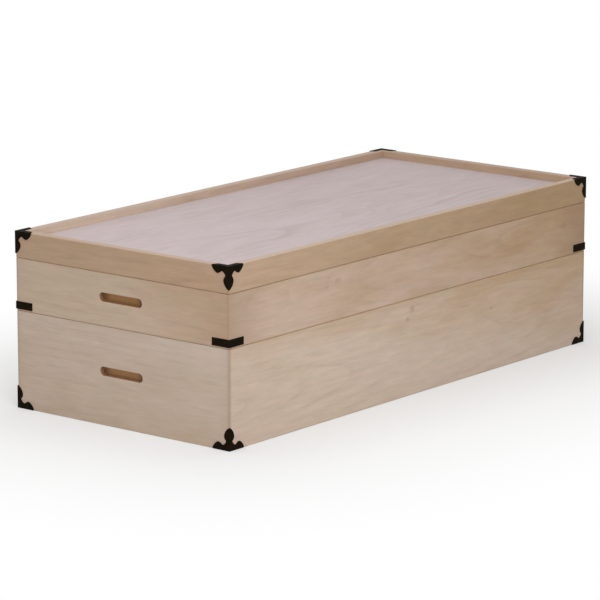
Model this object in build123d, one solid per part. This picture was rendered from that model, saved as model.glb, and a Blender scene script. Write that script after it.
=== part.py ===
# Two-tier clothing chest of pale paulownia boards with black corner fittings.
#
# Frame: millimetres, origin at the centre of the base, +Z up, +X along the long side.
# Front is the -Y long side, left is the -X short end.
# Every wall is a frame of four boards mitred at the corners. A wall section is drawn once as
# (inset, z) points, where inset is measured inwards from the outer face, and is swept along each side.
import os
from build123d import *

# Driving dimensions
LENGTH = 910.0
WIDTH = 422.0
LOWER_HEIGHT = 153.0
UPPER_HEIGHT = 82.0
LID_HEIGHT = 41.0
BOARD = 14.0             # thickness of every wall board
SEAM_GAP = 0.4           # daylight between stacked tiers
EDGE_CHAMFER = 0.9       # outer horizontal edges
CORNER_RADIUS = 1.5      # outer vertical edges

LOWER_TOP = LOWER_HEIGHT
UPPER_TOP = LOWER_TOP + UPPER_HEIGHT
TOTAL_HEIGHT = UPPER_TOP + LID_HEIGHT

# Panels held in grooves
GROOVE_DEPTH = 5.0
PANEL_TONGUE = 4.5
LOWER_PANEL_Z = 8.0
LOWER_PANEL_THICKNESS = 7.0
UPPER_PANEL_RISE = 10.0  # underside of the upper tier's bottom above the tier seam
UPPER_PANEL_THICKNESS = 6.0
LID_RECESS = 12.0        # rim top down to the lid panel
LID_PANEL_THICKNESS = 7.0

# Locating strips inside the top of each tier
LIP_THICKNESS = 5.0
LIP_GLUED = 22.0
LIP_PROUD = 8.0
LIP_CLEARANCE = 0.5
LIP_LEAD_IN = 1.5

# Cross battens
BATTEN_X = 230.0
BATTEN_WIDTH = 32.0
BATTEN_CHAMFER = 1.5
LID_BATTEN_HEIGHT = 9.0
BASE_BATTEN_HEIGHT = 6.0
BATTEN_END_GAP = 0.5

# Finger slots routed into the short boards
SLOT_LENGTH = 85.0
SLOT_HEIGHT = 14.0
SLOT_DEPTH = 10.5
SLOT_EASING = 0.7
LOWER_SLOT_Z = 83.5
UPPER_SLOT_Z = 197.5

# Black sheet fittings
SHEET = 0.8
WING_LENGTH = 32.5       # along each horizontal edge
LEG_LENGTH = 34.4        # down the corner
LEAF_END = 0.6           # half width of the leaf's blunt end
FACE_ARCS = [            # middle and end of each arc, as (along the edge, away from the edge)
    ((28.5, 6.8), (21.8, 11.4)),            # outer side of the wing's lobe
    ((17.3, 10.0), (13.4, 7.2)),            # inner side of the lobe
    ((8.6, 9.8), (6.0, 14.2)),              # hollow between lobe and leaf
    ((8.9, 17.6), (9.9, 22.0)),             # upper side of the leaf
    ((6.8, 29.0), (LEAF_END, LEG_LENGTH)),  # lower side of the leaf
]
RETURN_WIDTH = 8.5       # flange turned over onto the rim or under the base
RETURN_TAPER = 5.0
RETURN_SHORT = 1.0       # how much sooner than the wing the flange ends
BAND_LENGTH = 32.5
BAND_HEIGHT = 12.0
BAND_RISE = 2.6          # lower edge above the tier seam

# Dome-headed tacks
TACK_HEAD_RADIUS = 1.5
TACK_HEAD_HEIGHT = 0.7
TACK_SHANK_RADIUS = 0.6
TACK_SHANK_LENGTH = 4.2
WING_TACK = (23.4, 4.8)
LEAF_TACK = (5.2, 22.8)
BAND_TACKS = (9.0, 25.0)

MITRE_REACH = 60.0       # how far inwards the mitre wedges reach
HALF_LENGTH = LENGTH / 2
HALF_WIDTH = WIDTH / 2
CORNERS = ("front_left", "front_right", "back_left", "back_right")


def save(node, shape):
    shape.label = node
    export_step(shape, f"parts/{node}.step")


# Mitred frames. A side is drawn along X with its outer face at y = 0 and its inside towards +Y.

HALF_RUNS = {"front": HALF_LENGTH, "back": HALF_LENGTH, "left": HALF_WIDTH, "right": HALF_WIDTH}
SIDE_PLACES = {
    "front": Pos(0, -HALF_WIDTH, 0),
    "back": Pos(0, HALF_WIDTH, 0) * Rot(0, 0, 180),
    "left": Pos(-HALF_LENGTH, 0, 0) * Rot(0, 0, -90),
    "right": Pos(HALF_LENGTH, 0, 0) * Rot(0, 0, 90),
}


def mitre_wedge(side):
    """Everything nearer to one outer face than to the faces beside it, with rounded outer corners."""
    half_run = HALF_RUNS[side]
    outline = Polyline(
        (-half_run, 0), (half_run, 0), (half_run - MITRE_REACH, MITRE_REACH),
        (-half_run + MITRE_REACH, MITRE_REACH), close=True,
    )
    wedge = extrude(make_face(outline), TOTAL_HEIGHT)
    rounded_block = extrude(RectangleRounded(LENGTH, WIDTH, CORNER_RADIUS), TOTAL_HEIGHT)
    return (SIDE_PLACES[side] * wedge) & rounded_block


WEDGES = {side: mitre_wedge(side) for side in SIDE_PLACES}


def frame_piece(side, section):
    """Sweep an (inset, z) section along one side and mitre its ends."""
    half_run = HALF_RUNS[side]
    outline = make_face(Polyline(*[(-half_run, inset, z) for inset, z in section], close=True))
    bar = extrude(outline, amount=2 * half_run, dir=(1, 0, 0))
    return (SIDE_PLACES[side] * bar) & WEDGES[side]


def wall_section(bottom, top, groove_bottom, groove_height, rim=False):
    """Board section with eased outer edges and the panel groove; a rim also has its inner edge eased."""
    ease = EDGE_CHAMFER
    groove_top = groove_bottom + groove_height
    groove_inset = BOARD - GROOVE_DEPTH
    inner_top = [(BOARD, top - ease), (BOARD - ease, top)] if rim else [(BOARD, top)]
    return [
        (ease, bottom), (BOARD, bottom),
        (BOARD, groove_bottom), (groove_inset, groove_bottom),
        (groove_inset, groove_top), (BOARD, groove_top),
        *inner_top,
        (ease, top), (0, top - ease), (0, bottom + ease),
    ]


def lip_section(seam):
    """Strip glued inside the wall; its proud part is set back to clear the piece that drops over it."""
    inner = BOARD + LIP_THICKNESS
    top = seam + LIP_PROUD
    wall_top = seam - SEAM_GAP / 2
    return [
        (BOARD, seam - LIP_GLUED), (inner, seam - LIP_GLUED), (inner, top),
        (BOARD + LIP_CLEARANCE + LIP_LEAD_IN, top), (BOARD + LIP_CLEARANCE, top - LIP_LEAD_IN),
        (BOARD + LIP_CLEARANCE, wall_top), (BOARD, wall_top),
    ]


def grooved_panel(bottom, thickness):
    inset = BOARD - PANEL_TONGUE
    return Pos(0, 0, bottom + thickness / 2) * Box(LENGTH - 2 * inset, WIDTH - 2 * inset, thickness)


def cross_batten(x, bottom, height):
    """Batten across the width under a panel; its long lower edges are eased."""
    run = WIDTH - 2 * BOARD - 2 * BATTEN_END_GAP
    batten = Pos(x, 0, bottom + height / 2) * Box(BATTEN_WIDTH, run, height)
    lower_face = batten.faces().sort_by(Axis.Z)[0]
    return chamfer(lower_face.edges().filter_by(Axis.Y), BATTEN_CHAMFER)


# Finger slots

def slot_cutter(side, z):
    """Round-ended pocket entering from the outer face of a short board, with an eased mouth."""
    pocket = extrude(SlotOverall(SLOT_LENGTH, SLOT_HEIGHT), SLOT_DEPTH)
    mouth = extrude(
        SlotOverall(SLOT_LENGTH + 2 * SLOT_EASING, SLOT_HEIGHT + 2 * SLOT_EASING),
        SLOT_EASING, taper=45,
    )
    return SIDE_PLACES[side] * Pos(0, 0, z) * Rot(-90, 0, 0) * (pocket + mouth)


# Fittings, drawn for the front left corner with the corner edge at the origin,
# the short face at x = 0, the long face at y = 0 and the rim plane at z = 0

def face_outline():
    """Half of the three-lobed outline: a wing along the edge and half a leaf down the corner."""
    start = (WING_LENGTH, 0)
    outline = Line((0, 0), start)
    for middle, end in FACE_ARCS:
        outline += ThreePointArc(start, middle, end)
        start = end
    outline += Polyline(start, (0, LEG_LENGTH), (0, 0))
    return make_face(outline)


def on_short_face(shape):
    """From (along, away, out) to the plane of the left face: along +Y, away -Z, out -X."""
    return Plane(origin=(0, 0, 0), x_dir=(0, 1, 0), z_dir=(-1, 0, 0)) * shape


def on_long_face(shape):
    """From (along, away, out) to the plane of the front face: along +X, away -Z, out -Y."""
    return Plane(origin=(0, 0, 0), x_dir=(1, 0, 0), z_dir=(0, -1, 0)) * mirror(shape, Plane.XZ)


def edge_return():
    """Narrow flange turned over the rim, with tapered ends."""
    far = WING_LENGTH - RETURN_SHORT
    outline = Polyline(
        (-SHEET, -SHEET), (far, -SHEET), (far, 0), (far - RETURN_TAPER, RETURN_WIDTH),
        (RETURN_WIDTH, RETURN_WIDTH), (RETURN_WIDTH, far - RETURN_TAPER), (0, far), (-SHEET, far),
        close=True,
    )
    return extrude(make_face(outline), SHEET)


def tack():
    """Dome-headed tack standing on z = 0 with its shank below."""
    dome_radius = (TACK_HEAD_RADIUS**2 + TACK_HEAD_HEIGHT**2) / (2 * TACK_HEAD_HEIGHT)
    dome = Pos(0, 0, TACK_HEAD_HEIGHT - dome_radius) * Sphere(dome_radius)
    above_sheet = Pos(0, 0, TACK_HEAD_HEIGHT) * Cylinder(2 * TACK_HEAD_RADIUS, 2 * TACK_HEAD_HEIGHT)
    head = dome & above_sheet
    shank = Pos(0, 0, -TACK_SHANK_LENGTH / 2) * Cylinder(TACK_SHANK_RADIUS, TACK_SHANK_LENGTH)
    return head + shank


def face_tacks(points):
    """Tacks at (along, away) points of both faces, heads on the sheet's outer surface."""
    placed = []
    for along, away in points:
        standing = Pos(along, away, SHEET) * tack()
        placed += [on_short_face(standing), on_long_face(standing)]
    return placed


def corner_fitting():
    """Sheet folded round the corner: a plate on each face, the fold between them and the flange."""
    plate = extrude(face_outline(), SHEET)
    fold = Pos(-SHEET / 2, -SHEET / 2, -LEG_LENGTH / 2) * Box(SHEET, SHEET, LEG_LENGTH)
    return on_short_face(plate) + on_long_face(plate) + fold + edge_return()


def corner_band():
    """Plain angle band, drawn with its lower edge at z = 0."""
    outline = Polyline((-SHEET, -SHEET), (BAND_LENGTH, -SHEET), (BAND_LENGTH, 0), (0, 0), (0, BAND_LENGTH),
                       (-SHEET, BAND_LENGTH), close=True)
    return extrude(make_face(outline), BAND_HEIGHT)


def at_corner(corner, shape, z, upside_down=False):
    """Move a front left piece to a corner at height z."""
    placed = mirror(shape, Plane.XY) if upside_down else shape
    placed = Pos(-HALF_LENGTH, -HALF_WIDTH, z) * placed
    if corner.startswith("back"):
        placed = mirror(placed, Plane.XZ)
    if corner.endswith("right"):
        placed = mirror(placed, Plane.YZ)
    return placed


def fittings_on(shape, tacks, z, upside_down=False):
    """The four fittings of one level, drilled, and all of their tacks."""
    for tack_solid in tacks:
        shape -= tack_solid
    fittings = {corner: at_corner(corner, shape, z, upside_down) for corner in CORNERS}
    all_tacks = [at_corner(corner, t, z, upside_down) for corner in CORNERS for t in tacks]
    return fittings, all_tacks


def drilled(board, tacks):
    """Cut each tack's shank out of a board that it reaches."""
    box = board.bounding_box()
    for tack_solid in tacks:
        centre = tack_solid.center()
        reach = TACK_SHANK_LENGTH + BOARD
        near_x = box.min.X - reach < centre.X < box.max.X + reach
        near_y = box.min.Y - reach < centre.Y < box.max.Y + reach
        if near_x and near_y:
            board -= tack_solid
    return board


def build():
    os.makedirs("parts", exist_ok=True)
    half_gap = SEAM_GAP / 2

    corner_tacks = face_tacks([WING_TACK, LEAF_TACK])
    base_corners, base_tacks = fittings_on(corner_fitting(), corner_tacks, SHEET, upside_down=True)
    lid_corners, lid_tacks = fittings_on(corner_fitting(), corner_tacks, TOTAL_HEIGHT)
    band_points = [(along, -BAND_HEIGHT / 2) for along in BAND_TACKS]
    bands, band_tacks = fittings_on(corner_band(), face_tacks(band_points), LOWER_TOP + BAND_RISE)

    lower_wall = wall_section(0, LOWER_TOP - half_gap, LOWER_PANEL_Z, LOWER_PANEL_THICKNESS)
    upper_wall = wall_section(LOWER_TOP + half_gap, UPPER_TOP - half_gap,
                              LOWER_TOP + UPPER_PANEL_RISE, UPPER_PANEL_THICKNESS)
    lid_panel_z = TOTAL_HEIGHT - LID_RECESS - LID_PANEL_THICKNESS
    lid_wall = wall_section(UPPER_TOP + half_gap, TOTAL_HEIGHT, lid_panel_z, LID_PANEL_THICKNESS, rim=True)

    for side in SIDE_PLACES:
        lower_board = drilled(frame_piece(side, lower_wall), base_tacks)
        for fitting in base_corners.values():
            lower_board -= fitting
        upper_board = drilled(frame_piece(side, upper_wall), band_tacks)
        if side in ("left", "right"):
            lower_board -= slot_cutter(side, LOWER_SLOT_Z)
            upper_board -= slot_cutter(side, UPPER_SLOT_Z)
        save(f"lower_{side}_board", lower_board)
        save(f"upper_{side}_board", upper_board)
        save(f"lid_{side}_board", drilled(frame_piece(side, lid_wall), lid_tacks))
        save(f"lower_lip_{side}", frame_piece(side, lip_section(LOWER_TOP)))
        save(f"upper_lip_{side}", frame_piece(side, lip_section(UPPER_TOP)))

    save("lower_bottom_panel", grooved_panel(LOWER_PANEL_Z, LOWER_PANEL_THICKNESS))
    save("upper_bottom_panel", grooved_panel(LOWER_TOP + UPPER_PANEL_RISE, UPPER_PANEL_THICKNESS))
    save("lid_panel", grooved_panel(lid_panel_z, LID_PANEL_THICKNESS))

    base_batten_z = LOWER_PANEL_Z - BASE_BATTEN_HEIGHT
    lid_batten_z = lid_panel_z - LID_BATTEN_HEIGHT
    for hand, x in (("left", -BATTEN_X), ("right", BATTEN_X)):
        save(f"lower_batten_{hand}", cross_batten(x, base_batten_z, BASE_BATTEN_HEIGHT))
        save(f"lid_batten_{hand}", cross_batten(x, lid_batten_z, LID_BATTEN_HEIGHT))

    for corner in CORNERS:
        save(f"base_corner_{corner}", base_corners[corner])
        save(f"band_{corner}", bands[corner])
        save(f"lid_corner_{corner}", lid_corners[corner])
    save("base_corner_tacks", Compound(children=base_tacks))
    save("band_tacks", Compound(children=band_tacks))
    save("lid_corner_tacks", Compound(children=lid_tacks))


build()
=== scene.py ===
import math

import bpy
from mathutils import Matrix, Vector


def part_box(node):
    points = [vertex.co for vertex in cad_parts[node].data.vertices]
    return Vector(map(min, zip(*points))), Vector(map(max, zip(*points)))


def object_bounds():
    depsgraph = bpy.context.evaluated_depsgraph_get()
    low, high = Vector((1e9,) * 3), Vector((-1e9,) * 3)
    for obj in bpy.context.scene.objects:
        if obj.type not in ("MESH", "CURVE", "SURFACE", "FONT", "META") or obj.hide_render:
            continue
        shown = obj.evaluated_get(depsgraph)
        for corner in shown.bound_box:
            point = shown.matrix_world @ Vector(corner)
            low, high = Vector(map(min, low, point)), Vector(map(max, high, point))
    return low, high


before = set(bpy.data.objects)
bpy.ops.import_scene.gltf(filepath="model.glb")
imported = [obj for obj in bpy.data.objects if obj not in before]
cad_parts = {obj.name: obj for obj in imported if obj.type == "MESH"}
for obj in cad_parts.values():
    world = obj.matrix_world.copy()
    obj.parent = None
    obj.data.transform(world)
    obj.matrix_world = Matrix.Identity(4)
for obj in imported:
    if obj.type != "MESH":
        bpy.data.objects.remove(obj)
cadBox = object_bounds()
mm = 0.001
print("frame loaded:", len(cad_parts), "nodes")


def toLinear(share):
    return share / 12.92 if share <= 0.04045 else ((share + 0.055) / 1.055) ** 2.4


def fromSrgb(red, green, blue):
    # a colour as a paint program shows it, 0 to 255, as the linear value that a socket takes
    return (toLinear(red / 255), toLinear(green / 255), toLinear(blue / 255), 1.0)


def put(tree, kind, inputs=None, **settings):
    # one node; an input's value is either a plain value or the socket it is linked from
    node = tree.nodes.new(kind)
    for name, value in settings.items():
        setattr(node, name, value)
    for name, value in (inputs or {}).items():
        if isinstance(value, bpy.types.NodeSocket):
            tree.links.new(value, node.inputs[name])
        else:
            node.inputs[name].default_value = value
    return node


def calc(tree, operation, *values):
    return put(tree, "ShaderNodeMath", dict(enumerate(values)), operation=operation).outputs[0]


def vectorCalc(tree, operation, *values):
    return put(tree, "ShaderNodeVectorMath", dict(enumerate(values)), operation=operation).outputs[0]


def scaleVector(tree, value, factor):
    return put(tree, "ShaderNodeVectorMath", {0: value, "Scale": factor}, operation="SCALE").outputs[0]


def lengthOf(tree, value):
    return put(tree, "ShaderNodeVectorMath", {0: value}, operation="LENGTH").outputs["Value"]


def splitAxes(tree, value):
    return put(tree, "ShaderNodeSeparateXYZ", {0: value}).outputs


def objectPlace(tree):
    return put(tree, "ShaderNodeTexCoord").outputs["Object"]


def blendColour(tree, factor, first, second):
    # inputs 6 and 7 and output 2 of the mix node are its colours
    return put(tree, "ShaderNodeMix", {0: factor, 6: first, 7: second}, data_type="RGBA").outputs[2]


def remap(tree, value, fromRange, toRange, smooth=False):
    node = put(tree, "ShaderNodeMapRange",
               {"Value": value, "From Min": fromRange[0], "From Max": fromRange[1],
                "To Min": toRange[0], "To Max": toRange[1]},
               interpolation_type="SMOOTHSTEP" if smooth else "LINEAR", clamp=True)
    return node.outputs[0]


def stretchedNoise(tree, position, seed, features, detail, roughness):
    node = put(tree, "ShaderNodeTexNoise",
               {"Vector": vectorCalc(tree, "MULTIPLY", position, features), "W": seed,
                "Scale": 1.0, "Detail": detail, "Roughness": roughness},
               noise_dimensions="4D")
    return node.outputs[0]


def noiseSet(tree, given, shapes):
    return {name: stretchedNoise(tree, given["Position"], given["Seed"], *shape)
            for name, shape in shapes.items()}


def swing(tree, noise):
    # noise as a swing to both sides of nought
    return calc(tree, "SUBTRACT", noise, 0.5)


def newGroup(name, inputs, outputs):
    # inputs are (name, kind, default); outputs are (name, kind)
    tree = bpy.data.node_groups.new(name, "ShaderNodeTree")
    for socketName, kind, default in inputs:
        socket = tree.interface.new_socket(name=socketName, in_out="INPUT",
                                           socket_type="NodeSocket" + kind)
        socket.default_value = default
    for socketName, kind in outputs:
        tree.interface.new_socket(name=socketName, in_out="OUTPUT", socket_type="NodeSocket" + kind)
    return tree, tree.nodes.new("NodeGroupInput").outputs, tree.nodes.new("NodeGroupOutput").inputs


def placeGroup(tree, group, values):
    return put(tree, "ShaderNodeGroup", values, node_tree=group).outputs


def newMaterial(name):
    material = bpy.data.materials.new(name)
    material.use_nodes = True
    material.node_tree.nodes.clear()
    return material, material.node_tree


def finishMaterial(tree, colour, roughness, height, bumpHeight, gloss):
    bump = put(tree, "ShaderNodeBump", {"Height": height, "Distance": bumpHeight * mm, "Strength": 1.0})
    shader = put(tree, "ShaderNodeBsdfPrincipled", {
        "Base Color": colour, "Roughness": roughness, "Normal": bump.outputs[0],
        "Specular IOR Level": gloss})
    put(tree, "ShaderNodeOutputMaterial", {"Surface": shader.outputs[0]})


# The noises that paulownia is made of, each as ((features per metre along the grain, into the board and
# across its face), detail, roughness).
timberNoise = dict(
    wave=((3.5, 9, 9), 3.0, 0.45),
    jitter=((30, 90, 90), 2.0, 0.5),
    patch=((9, 34, 34), 2.0, 0.5),
    streak=((22, 130, 130), 3.0, 0.6),
    fibre=((16, 520, 520), 4.0, 0.62),
    pore=((70, 1500, 1500), 2.0, 0.5),
    blotch=((6, 24, 24), 4.0, 0.6),
    tint=((12, 52, 52), 4.0, 0.65),
)
# Reaches are in millimetres. A range is the stretch of a noise over which its effect comes in.
timberLook = dict(
    jitterReach=1.2, knotReach=14.0, yearCloses=0.93, faintestYear=0.3,
    patchRange=(0.4, 0.62), faintestPatch=0.1,
    poreRange=(0.58, 0.7), poresInEarlyWood=0.65, poresAnywhere=0.35,
    blotchRange=(0.25, 0.75), heartRange=(0.35, 0.95), pinkLean=(0.8, -0.5, 0.3),
    fibreRange=(0.3, 0.7), roughness=(0.56, 0.7), poreRelief=-0.8, ringRelief=-0.35,
)


def growthRings(tree, given, place, noise):
    # Years counted outwards from the pith of the log, which runs at a slight slope to the board. Gives
    # the line that each year draws, and how much of it shows.
    along, inwards, across = place
    look = timberLook
    slope = calc(tree, "MULTIPLY_ADD", along, given["Pith Slope"], given["Pith Depth"])
    depth = calc(tree, "ADD", slope, inwards)
    height = calc(tree, "SUBTRACT", across, given["Pith Height"])
    depthSquare = calc(tree, "MULTIPLY", depth, depth)
    heightSquare = calc(tree, "MULTIPLY", height, height)
    radius = calc(tree, "SQRT", calc(tree, "ADD", depthSquare, heightSquare))
    wavy = calc(tree, "MULTIPLY_ADD", swing(tree, noise["wave"]), given["Waviness"], radius)
    shaken = calc(tree, "MULTIPLY_ADD", swing(tree, noise["jitter"]), look["jitterReach"] * mm, wavy)
    swirled = calc(tree, "MULTIPLY_ADD", given["Knot"], look["knotReach"] * mm, shaken)
    years = calc(tree, "ADD", calc(tree, "DIVIDE", swirled, given["Ring Width"]), given["Seed"])

    # the open early wood of each year is dark and fades, and the line closes again at the year's end
    share = calc(tree, "FRACT", years)
    earlyWood = calc(tree, "POWER", calc(tree, "SUBTRACT", 1.0, share), given["Ring Sharpness"])
    closing = remap(tree, share, (look["yearCloses"], 1.0), (0.0, 1.0), smooth=True)
    line = calc(tree, "MAXIMUM", earlyWood, closing)

    # some years are fainter than others, and a ring comes and goes along its length
    year = calc(tree, "FLOOR", years)
    yearly = put(tree, "ShaderNodeTexWhiteNoise", {"W": year}, noise_dimensions="1D").outputs[0]
    marked = remap(tree, yearly, (0.0, 1.0), (look["faintestYear"], 1.0))
    patchy = remap(tree, noise["patch"], look["patchRange"], (look["faintestPatch"], 1.0))
    return line, calc(tree, "MULTIPLY", calc(tree, "MULTIPLY", line, marked), patchy)


def makeTimberGroup():
    # Sawn paulownia. Position is (along the grain, into the board, across its face) in metres.
    tree, given, out = newGroup(
        "sawnPaulownia",
        [("Position", "Vector", (0, 0, 0)), ("Seed", "Float", 0.0), ("Pale", "Color", (1, 1, 1, 1)),
         ("Warm", "Color", (1, 1, 1, 1)), ("Ring", "Color", (0, 0, 0, 1)),
         ("Pith Depth", "Float", 0.05), ("Pith Height", "Float", 0.0), ("Pith Slope", "Float", 0.03),
         ("Ring Width", "Float", 0.009), ("Waviness", "Float", 0.006),
         ("Ring Strength", "Float", 0.3), ("Ring Sharpness", "Float", 4.5),
         ("Streak Strength", "Float", 0.1), ("Fibre Strength", "Float", 0.1),
         ("Pore Strength", "Float", 0.3), ("Tint Strength", "Float", 0.05),
         ("Drift", "Float", 0.0), ("Drift Middle", "Float", 0.0), ("Drift Across", "Float", 0.0),
         ("Knot", "Float", 0.0), ("Knot Strength", "Float", 0.5)],
        [("Color", "Color"), ("Roughness", "Float"), ("Height", "Float")])
    look = timberLook
    along, inwards, across = splitAxes(tree, given["Position"])
    noise = noiseSet(tree, given, timberNoise)
    line, ring = growthRings(tree, given, (along, inwards, across), noise)

    # the pores are short dashes that gather in the early wood
    opened = remap(tree, noise["pore"], look["poreRange"], (0.0, 1.0), smooth=True)
    gathered = calc(tree, "MULTIPLY_ADD", line, look["poresInEarlyWood"], look["poresAnywhere"])
    pore = calc(tree, "MULTIPLY", opened, gathered)

    # pale and warm blotches, with a drift from the one to the other along the board and across it
    beyond = calc(tree, "SUBTRACT", along, given["Drift Middle"])
    crosswise = calc(tree, "MULTIPLY_ADD", across, given["Drift Across"], noise["blotch"])
    drifted = calc(tree, "MULTIPLY_ADD", beyond, given["Drift"], crosswise)
    toned = blendColour(tree, remap(tree, drifted, look["blotchRange"], (0.0, 1.0)),
                        given["Pale"], given["Warm"])

    # over them the rings, the dark hearts of the knots, streaks and fibres, and the pores
    ringShows = calc(tree, "MULTIPLY", ring, given["Ring Strength"])
    ringed = blendColour(tree, ringShows, toned, given["Ring"])
    heart = remap(tree, given["Knot"], look["heartRange"], (0.0, 1.0))
    heartShows = calc(tree, "MULTIPLY", heart, given["Knot Strength"])
    knotted = blendColour(tree, heartShows, ringed, given["Ring"])
    streaks = calc(tree, "MULTIPLY_ADD", swing(tree, noise["streak"]), given["Streak Strength"], 1.0)
    fibres = calc(tree, "MULTIPLY_ADD", swing(tree, noise["fibre"]), given["Fibre Strength"], streaks)
    poreShows = calc(tree, "MULTIPLY", pore, given["Pore Strength"])
    dashed = blendColour(tree, poreShows, scaleVector(tree, knotted, fibres), given["Ring"])

    # patches that lean to pink and to olive
    lean = calc(tree, "MULTIPLY", swing(tree, noise["tint"]), given["Tint Strength"])
    factors = vectorCalc(tree, "ADD", scaleVector(tree, look["pinkLean"], lean), (1, 1, 1))
    tree.links.new(vectorCalc(tree, "MULTIPLY", dashed, factors), out["Color"])
    tree.links.new(remap(tree, noise["fibre"], look["fibreRange"], look["roughness"]), out["Roughness"])
    ringRelief = calc(tree, "MULTIPLY_ADD", ring, look["ringRelief"], noise["fibre"])
    tree.links.new(calc(tree, "MULTIPLY_ADD", pore, look["poreRelief"], ringRelief), out["Height"])
    return tree


def makeEdgeGroup():
    # 1 on the edges of a box and 0 a width away from them
    tree, given, out = newGroup(
        "boxEdges",
        [("Position", "Vector", (0, 0, 0)), ("Half Size", "Vector", (1, 1, 1)),
         ("Width", "Float", 0.002)],
        [("Edge", "Float")])
    fromMiddle = vectorCalc(tree, "ABSOLUTE", given["Position"])
    x, y, z = splitAxes(tree, vectorCalc(tree, "SUBTRACT", given["Half Size"], fromMiddle))
    # x, y and z are depths under the faces; near an edge two of the three are small
    shallower, deeper = calc(tree, "MINIMUM", x, y), calc(tree, "MAXIMUM", x, y)
    second = calc(tree, "MAXIMUM", shallower, calc(tree, "MINIMUM", deeper, z))
    share = calc(tree, "DIVIDE", second, given["Width"])
    tree.links.new(remap(tree, share, (0.0, 1.0), (1.0, 0.0), smooth=True), out["Edge"])
    return tree


spotNoise = dict(scale=260.0, detail=2.0, raggedness=0.7)


def makeSpotGroup():
    # a soft ellipsoid: 1 inside, 0 outside, ragged by noise
    tree, given, out = newGroup(
        "softSpot",
        [("Position", "Vector", (0, 0, 0)), ("Centre", "Vector", (0, 0, 0)),
         ("Half Size", "Vector", (1, 1, 1)), ("Softness", "Float", 0.5)],
        [("Mask", "Float")])
    offset = vectorCalc(tree, "SUBTRACT", given["Position"], given["Centre"])
    distance = lengthOf(tree, vectorCalc(tree, "DIVIDE", offset, given["Half Size"]))
    noise = put(tree, "ShaderNodeTexNoise", {"Vector": given["Position"], "Scale": spotNoise["scale"],
                                             "Detail": spotNoise["detail"]}).outputs[0]
    ragged = calc(tree, "MULTIPLY_ADD", swing(tree, noise), spotNoise["raggedness"], distance)
    start = calc(tree, "SUBTRACT", 1.0, given["Softness"])
    tree.links.new(remap(tree, ragged, (start, 1.0), (1.0, 0.0), smooth=True), out["Mask"])
    return tree


timber = makeTimberGroup()
boxEdges = makeEdgeGroup()
softSpot = makeSpotGroup()
print("wood groups made")


# the tones of the boards as (pale, warm, ring line)
woodTones = {
    "lidFront": ((192, 163, 135), (177, 146, 111), (134, 100, 70)),
    # the lid's back board is paler than the other lid boards: painted light that lifts its inner face, the
    # inside of the far rim, out of its shade
    "lidBackPaintedLight": ((214, 192, 172), (200, 171, 149), (146, 112, 84)),
    "lidLeft": ((187, 158, 131), (178, 147, 118), (128, 96, 68)),
    "lidRight": ((193, 165, 141), (187, 158, 132), (134, 102, 74)),
    "upperFront": ((204, 179, 159), (186, 154, 121), (136, 102, 72)),
    "upperLeft": ((195, 173, 151), (184, 154, 128), (138, 106, 78)),
    "upperSide": ((200, 180, 160), (190, 166, 142), (138, 106, 78)),
    "lowerFront": ((212, 191, 173), (194, 164, 131), (146, 116, 88)),
    "lowerSide": ((202, 183, 168), (193, 171, 150), (146, 116, 90)),
    "panel": ((195, 180, 180), (186, 171, 170), (164, 148, 146)),
    "inside": ((205, 180, 152), (192, 163, 132), (142, 108, 76)),
}

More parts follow.
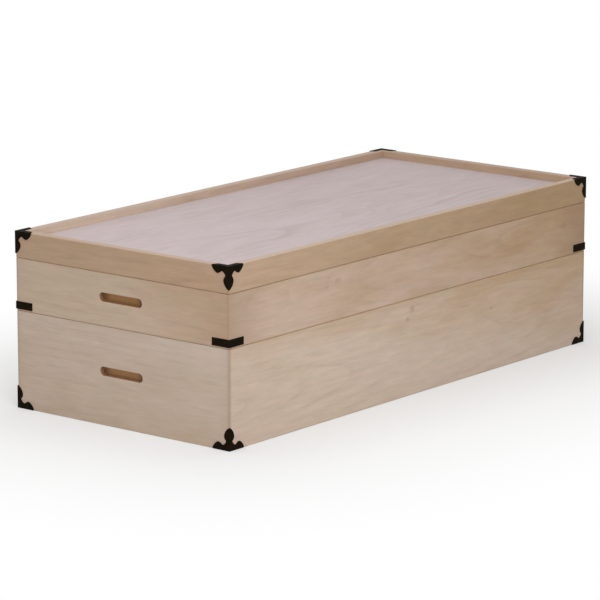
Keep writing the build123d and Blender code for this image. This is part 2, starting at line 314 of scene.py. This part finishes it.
# How each board was cut from its log. Lengths are in millimetres from the board's centre, and a
# knot is (along, across, radius). A drift turns the board from pale to warm, by so much per metre, along
# its grain towards the right or the back; driftAcross does the same up its face. Below zero, the
# warm end is the other one.
boardCuts = {
    # a lid board's rim-top colour is partly a pinker tone of its own and partly painted shade that darkens
    # its lit top face, most on the back and right boards
    "lid_front_board": dict(
        tones="lidFront", seed=3.1, pithDepth=70, pithHeight=-30, slope=0.03, drift=0.7,
        rimTopToneAndShade=(188, 166, 150)),
    "lid_back_board": dict(
        tones="lidBackPaintedLight", seed=8.7, pithDepth=60, pithHeight=20, slope=-0.03, drift=0.8,
        rimTopToneAndShade=(176, 156, 142)),
    "lid_left_board": dict(
        tones="lidLeft", seed=5.3, pithDepth=80, pithHeight=-26, slope=0.04, rimTopToneAndShade=(184, 161, 145)),
    "lid_right_board": dict(
        tones="lidRight", seed=6.9, pithDepth=75, pithHeight=25, slope=-0.03, rimTopToneAndShade=(168, 147, 132)),
    "upper_front_board": dict(
        tones="upperFront", seed=1.7, pithDepth=58, pithHeight=14, slope=-0.10,
        drift=0.5, driftMiddle=120, driftAcross=1.5, endReach=100, endStrength=0.40,
        knots=((-200, 19, 11), (392, 10, 12)), knotStrength=0.22),
    "upper_back_board": dict(tones="upperSide", seed=11.2, pithDepth=66, pithHeight=-9, slope=0.05),
    "upper_left_board": dict(
        tones="upperLeft", seed=13.4, pithDepth=90, pithHeight=52, slope=0.03,
        drift=-3.0, driftMiddle=-110, driftAcross=3.0, endStrength=0.03),
    "upper_right_board": dict(tones="upperSide", seed=15.8, pithDepth=70, pithHeight=10, slope=-0.06),
    "lower_front_board": dict(
        tones="lowerFront", seed=2.2, pithDepth=80, pithHeight=-12, slope=0.07,
        drift=0.5, driftMiddle=390, driftAcross=4.2, endReach=200, endStrength=0.09, jointStrength=0.5,
        knots=((-14, 61, 12), (-25, 46, 8), (195, 25, 6)), knotStrength=0.36, knotLength=1.2),
    "lower_back_board": dict(tones="lowerSide", seed=17.6, pithDepth=70, pithHeight=18, slope=-0.06),
    "lower_left_board": dict(
        tones="lowerSide", seed=19.1, pithDepth=95, pithHeight=-60, slope=0.02,
        driftAcross=-2.2, jointStrength=0.4),
    "lower_right_board": dict(tones="lowerSide", seed=21.5, pithDepth=85, pithHeight=30, slope=0.05),
    "lid_panel": dict(
        tones="panel", seed=7.4, pithDepth=150, pithHeight=-50, slope=0.05, drift=0.6,
        ringWidth=8, ringStrength=0.66, ringSharpness=1.8, wave=50, fibreStrength=0.2, tintStrength=0.04),
    "upper_bottom_panel": dict(tones="inside", seed=23.3, pithDepth=90, pithHeight=0, slope=0.05),
    "lower_bottom_panel": dict(tones="inside", seed=25.9, pithDepth=100, pithHeight=-40, slope=-0.04),
}
# the lips and battens, each with a seed of its own
plainCut = dict(tones="inside", pithDepth=60, pithHeight=0, slope=0.03)
plainSeeds = dict(first=31.0, step=1.7)

# What a cut doesn't say. Widths and reaches are in millimetres; knotLength is a knot's length over its
# width, and the end and joint strengths darken a board towards its ends and beside its mitres.
woodFinish = dict(
    ringWidth=9.0, wave=11.0, ringStrength=0.19, ringSharpness=4.5,
    streakStrength=0.3, fibreStrength=0.22, poreStrength=0.22, tintStrength=0.12,
    drift=0.0, driftMiddle=0, driftAcross=0.0,
    knots=(), knotStrength=0.5, knotLength=1.8, knotDepth=25,
    # the edge width and strength paint shade along every board edge, standing for the seams between boards
    seamShadeWidth=2.6, seamShadeStrength=0.55, endReach=20, endStrength=0.1, jointWidth=7.0, jointStrength=0.25,
    # the rim strength and range lay the rim-top colour on the lid boards' top faces: partly a pinker tone,
    # partly painted shade
    rimTopShadeStrength=0.75, rimTopShadeRange=(-0.8, -0.2), gloss=0.35, bumpHeight=0.12,
)

# The finger slots, painted with shade: a darker brown inside, and darker still along the bottom and at
# the ends. Heights are above the floor and depths behind the board's face, the rest is from the middle of
# the slot, all in millimetres. Each shade range is (where it starts, where it is full).
slotShade = dict(
    boards=("upper_left_board", "upper_right_board", "lower_left_board", "lower_right_board"),
    heights=dict(upper=197.5, lower=83.5), depths=(1.3, 12.0), halfLength=46.0, halfHeight=9.5,
    colour=(186, 136, 80), strength=0.85, fadeFrom=0.9,
    slotDeepShade=(144, 101, 58), bottomShade=(-2.5, -7.5), backEndShade=(28.0, 38.0),
    frontEndShade=(-23.0, -31.0),
)


def grainAxes(node):
    # which of X, Y and Z run along the grain, into the board and across its face
    if "batten" in node:
        return 1, 2, 0
    if "panel" in node:
        return 0, 2, 1
    low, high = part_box(node)
    size = high - low
    return (0, 1, 2) if size.x > size.y else (1, 0, 2)


def knotMask(tree, position, faceDepth, finish):
    # the knots of a front board, round on its outer face; 0 without any
    mask = 0.0
    for along, across, radius in finish["knots"]:
        size = (radius * finish["knotLength"] * mm, finish["knotDepth"] * mm, radius * mm)
        spot = placeGroup(tree, softSpot, {
            "Position": position, "Centre": (along * mm, -faceDepth, across * mm),
            "Half Size": size, "Softness": 1.0})["Mask"]
        mask = calc(tree, "MAXIMUM", mask, spot)
    return mask


def shadeSlot(tree, node, place, colour):
    # the routed slot is painted with shade: a darker brown inside, and darker still along its bottom and at
    # its ends
    low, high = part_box(node)
    tier, hand = node.split("_")[:2]
    face = low.x if hand == "left" else high.x
    inward = 1 if hand == "left" else -1
    near, far = (value * mm for value in slotShade["depths"])
    middle = Vector((face + inward * (near + far) / 2, 0, slotShade["heights"][tier] * mm))
    half = Vector(((far - near) / 2, slotShade["halfLength"] * mm, slotShade["halfHeight"] * mm))
    offset = vectorCalc(tree, "SUBTRACT", place, middle)
    x, y, z = splitAxes(tree, vectorCalc(tree, "DIVIDE", vectorCalc(tree, "ABSOLUTE", offset), half))
    outermost = calc(tree, "MAXIMUM", x, calc(tree, "MAXIMUM", y, z))
    mask = remap(tree, outermost, (slotShade["fadeFrom"], 1.0), (slotShade["strength"], 0.0))

    _, backwards, upwards = splitAxes(tree, offset)
    darkest = 0.0
    for name, distance in (("bottomShade", upwards), ("backEndShade", backwards), ("frontEndShade", backwards)):
        shadeRange = [edge * mm for edge in slotShade[name]]
        darkest = calc(tree, "MAXIMUM", darkest, remap(tree, distance, shadeRange, (0.0, 1.0)))
    recessShade = blendColour(tree, darkest, fromSrgb(*slotShade["colour"]), fromSrgb(*slotShade["slotDeepShade"]))
    return blendColour(tree, mask, colour, recessShade)


def darkenEndsAndMitres(tree, colour, outwards, halfLength, finish, ring):
    # a board darkens softly towards its ends, and more in a line beside each mitre
    endRange = (halfLength - finish["endReach"] * mm, halfLength)
    jointRange = (halfLength - finish["jointWidth"] * mm, halfLength)
    end = remap(tree, outwards, endRange, (0.0, finish["endStrength"]))
    joint = remap(tree, outwards, jointRange, (0.0, finish["jointStrength"]), smooth=True)
    return blendColour(tree, calc(tree, "MAXIMUM", end, joint), colour, ring)


def woodMaterial(node, cut):
    finish = {**woodFinish, **cut}
    pale, warm, ring = (fromSrgb(*tone) for tone in woodTones[finish["tones"]])
    low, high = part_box(node)
    axes = grainAxes(node)
    halfSize = [((high - low) / 2)[axis] for axis in axes]
    material, tree = newMaterial(node + "_wood")
    place = objectPlace(tree)
    fromCentre = splitAxes(tree, vectorCalc(tree, "SUBTRACT", place, (low + high) / 2))
    turned = {index: fromCentre[axis] for index, axis in enumerate(axes)}
    position = put(tree, "ShaderNodeCombineXYZ", turned).outputs[0]

    wood = placeGroup(tree, timber, {
        "Position": position, "Seed": finish["seed"], "Pale": pale, "Warm": warm, "Ring": ring,
        "Pith Depth": finish["pithDepth"] * mm, "Pith Height": finish["pithHeight"] * mm,
        "Pith Slope": finish["slope"],
        "Ring Width": finish["ringWidth"] * mm, "Waviness": finish["wave"] * mm,
        "Ring Strength": finish["ringStrength"], "Ring Sharpness": finish["ringSharpness"],
        "Streak Strength": finish["streakStrength"], "Fibre Strength": finish["fibreStrength"],
        "Pore Strength": finish["poreStrength"], "Tint Strength": finish["tintStrength"],
        "Drift": finish["drift"], "Drift Middle": finish["driftMiddle"] * mm,
        "Drift Across": finish["driftAcross"],
        "Knot": knotMask(tree, position, halfSize[1], finish), "Knot Strength": finish["knotStrength"]})
    # board edges blend towards the warm tone: painted shade for the seams between boards
    edge = placeGroup(tree, boxEdges, {
        "Position": position, "Half Size": halfSize, "Width": finish["seamShadeWidth"] * mm})["Edge"]
    colour = blendColour(tree, calc(tree, "MULTIPLY", edge, finish["seamShadeStrength"]), wood["Color"], warm)
    if node.endswith("board"):
        outwards = calc(tree, "ABSOLUTE", fromCentre[axes[0]])
        colour = darkenEndsAndMitres(tree, colour, outwards, halfSize[0], finish, ring)
    # the rim tops get a colour of their own: partly a pinker tone, partly painted shade that darkens the
    # tops where the overhead lamp lights them most
    if "rimTopToneAndShade" in finish:
        rimTopShadeRange = [high.z + edgeHeight * mm for edgeHeight in finish["rimTopShadeRange"]]
        onTop = remap(tree, splitAxes(tree, place)[2], rimTopShadeRange, (0.0, finish["rimTopShadeStrength"]))
        colour = blendColour(tree, onTop, colour, fromSrgb(*finish["rimTopToneAndShade"]))
    if node in slotShade["boards"]:
        colour = shadeSlot(tree, node, place, colour)
    finishMaterial(tree, colour, wood["Roughness"], wood["Height"], finish["bumpHeight"], finish["gloss"])
    return material


def isFitting(node):
    return any(word in node for word in ("corner", "band", "tacks"))


def giveMaterial(thing, material):
    thing.data.materials.clear()
    thing.data.materials.append(material)


def dressWood():
    for index, (node, thing) in enumerate(sorted(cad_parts.items())):
        if not isFitting(node):
            ownSeed = plainSeeds["first"] + plainSeeds["step"] * index
            cut = boardCuts.get(node, {**plainCut, "seed": ownSeed})
            giveMaterial(thing, woodMaterial(node, cut))


# black lacquer on hammered sheet; its noises are written as those of the timber are
lacquer = dict(
    dark=(17, 13, 4), thin=(27, 18, 7), gloss=0.045, bumpHeight=0.05, sheetSeed=1.0, tackSeed=7.0,
    thinRange=(0.4, 0.65), speckRange=(0.3, 0.7), roughness=(0.62, 0.78), speckRelief=0.12,
    noise=dict(patch=((90, 90, 90), 3.0, 0.5), dent=((420, 420, 420), 2.0, 0.5),
               speck=((2400, 2400, 2400), 2.0, 0.5)),
)


def makeLacquerGroup():
    # nearly black in the flats, and brown where it has thinned
    tree, given, out = newGroup(
        "blackLacquer",
        [("Position", "Vector", (0, 0, 0)), ("Dark", "Color", (0, 0, 0, 1)),
         ("Thin", "Color", (0, 0, 0, 1)), ("Seed", "Float", 0.0)],
        [("Color", "Color"), ("Roughness", "Float"), ("Height", "Float")])
    noise = noiseSet(tree, given, lacquer["noise"])
    thinned = remap(tree, noise["patch"], lacquer["thinRange"], (0.0, 1.0), smooth=True)
    tree.links.new(blendColour(tree, thinned, given["Dark"], given["Thin"]), out["Color"])
    roughness = remap(tree, noise["speck"], lacquer["speckRange"], lacquer["roughness"])
    tree.links.new(roughness, out["Roughness"])
    relief = calc(tree, "MULTIPLY_ADD", noise["speck"], lacquer["speckRelief"], noise["dent"])
    tree.links.new(relief, out["Height"])
    return tree


blackLacquer = makeLacquerGroup()
print("lacquer group made")


def lacquerMaterial(name, seed):
    material, tree = newMaterial(name)
    coat = placeGroup(tree, blackLacquer, {
        "Position": objectPlace(tree), "Dark": fromSrgb(*lacquer["dark"]),
        "Thin": fromSrgb(*lacquer["thin"]), "Seed": seed})
    finishMaterial(tree, coat["Color"], coat["Roughness"], coat["Height"],
                   lacquer["bumpHeight"], lacquer["gloss"])
    return material


def dressFittings():
    sheetCoat = lacquerMaterial("black_sheet", lacquer["sheetSeed"])
    tackCoat = lacquerMaterial("black_tack_heads", lacquer["tackSeed"])
    for node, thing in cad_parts.items():
        if isFitting(node):
            giveMaterial(thing, tackCoat if "tacks" in node else sheetCoat)


# The floor turns to plain white between fadeFrom and fadeTo, in metres from the foot of the chest, and
# lift is how white it is at the foot. It lies a hair under the chest.
studio = dict(
    floorHalfSize=14.0, floorDrop=0.1, floorColour=(238, 238, 238), floorRoughness=0.9,
    fadeFrom=0.0, fadeTo=0.55, lift=0.35, skyStrength=0.42,
)
# places and sizes in metres, power in watts
lamps = {
    "overhead": dict(place=(0.0, 0.3, 2.8), aim=(0.0, 0.0, 0.2), size=(3.0, 2.4), power=30),
    "key": dict(place=(-1.45, -1.4, 1.5), aim=(-0.3, -0.15, 0.15), size=(0.9, 0.9), power=20),
}
# place in metres, lens in millimetres; yaw turns from the back to the right and pitch down, in degrees
viewpoint = dict(place=(-4.43193, -3.54321, 1.37663), yaw=51.179, pitch=12.493, lens=219.82)


def seenDirectly(tree):
    # 1 for the camera and in mirrored or transmitted views, 0 for the light that reaches the chest
    path = put(tree, "ShaderNodeLightPath").outputs
    mirrored = calc(tree, "MAXIMUM", path["Is Glossy Ray"], path["Is Transmission Ray"])
    return calc(tree, "MAXIMUM", path["Is Camera Ray"], mirrored)


def floorMaterial():
    material, tree = newMaterial("white_floor")
    foot = (cadBox[1][0], cadBox[1][1], 1.0)
    beside = vectorCalc(tree, "SUBTRACT", vectorCalc(tree, "ABSOLUTE", objectPlace(tree)), foot)
    distance = lengthOf(tree, vectorCalc(tree, "MAXIMUM", beside, (0, 0, 0)))
    fadeRange = (studio["fadeFrom"], studio["fadeTo"])
    white = remap(tree, distance, fadeRange, (studio["lift"], 1.0), smooth=True)
    paint = put(tree, "ShaderNodeBsdfPrincipled", {
        "Base Color": fromSrgb(*studio["floorColour"]), "Roughness": studio["floorRoughness"],
        "Specular IOR Level": 0.0})
    glow = put(tree, "ShaderNodeEmission", {"Color": (1, 1, 1, 1), "Strength": 1.0})
    mixed = put(tree, "ShaderNodeMixShader", {
        0: calc(tree, "MULTIPLY", white, seenDirectly(tree)), 1: paint.outputs[0], 2: glow.outputs[0]})
    put(tree, "ShaderNodeOutputMaterial", {"Surface": mixed.outputs[0]})
    return material


def addToScene(name, data):
    thing = bpy.data.objects.new(name, data)
    bpy.context.scene.collection.objects.link(thing)
    return thing


def makeFloor():
    half = studio["floorHalfSize"]
    corners = [(-half, -half, 0), (half, -half, 0), (half, half, 0), (-half, half, 0)]
    mesh = bpy.data.meshes.new("floor")
    mesh.from_pydata(corners, [], [(0, 1, 2, 3)])
    mesh.materials.append(floorMaterial())
    floor = addToScene("floor", mesh)
    floor.location.z = -studio["floorDrop"] * mm


def makeWorld():
    world = bpy.data.worlds.new("studio")
    bpy.context.scene.world = world
    world.use_nodes = True
    tree = world.node_tree
    tree.nodes.clear()
    strength = calc(tree, "MAXIMUM", seenDirectly(tree), studio["skyStrength"])
    sky = put(tree, "ShaderNodeBackground", {"Color": (1, 1, 1, 1), "Strength": strength})
    put(tree, "ShaderNodeOutputWorld", {"Surface": sky.outputs[0]})


def makeLamps():
    for name, lamp in lamps.items():
        light = bpy.data.lights.new(name, "AREA")
        light.shape = "RECTANGLE"
        light.size, light.size_y = lamp["size"]
        light.energy = lamp["power"]
        thing = addToScene(name, light)
        thing.location = lamp["place"]
        towards = Vector(lamp["aim"]) - Vector(lamp["place"])
        thing.rotation_euler = towards.to_track_quat("-Z", "Y").to_euler()


def makeCamera():
    camera = bpy.data.cameras.new("camera")
    camera.lens = viewpoint["lens"]
    camera.sensor_width = 36.0
    camera.clip_start, camera.clip_end = 0.1, 60.0
    thing = addToScene("camera", camera)
    thing.location = viewpoint["place"]
    thing.rotation_euler = (math.radians(90 - viewpoint["pitch"]), 0, -math.radians(viewpoint["yaw"]))
    bpy.context.scene.camera = thing


dressWood()
print("wood dressed")
dressFittings()
print("fittings dressed")
makeFloor()
makeWorld()
makeLamps()
makeCamera()
bpy.context.scene.view_settings.view_transform = "Standard"
print("studio ready")
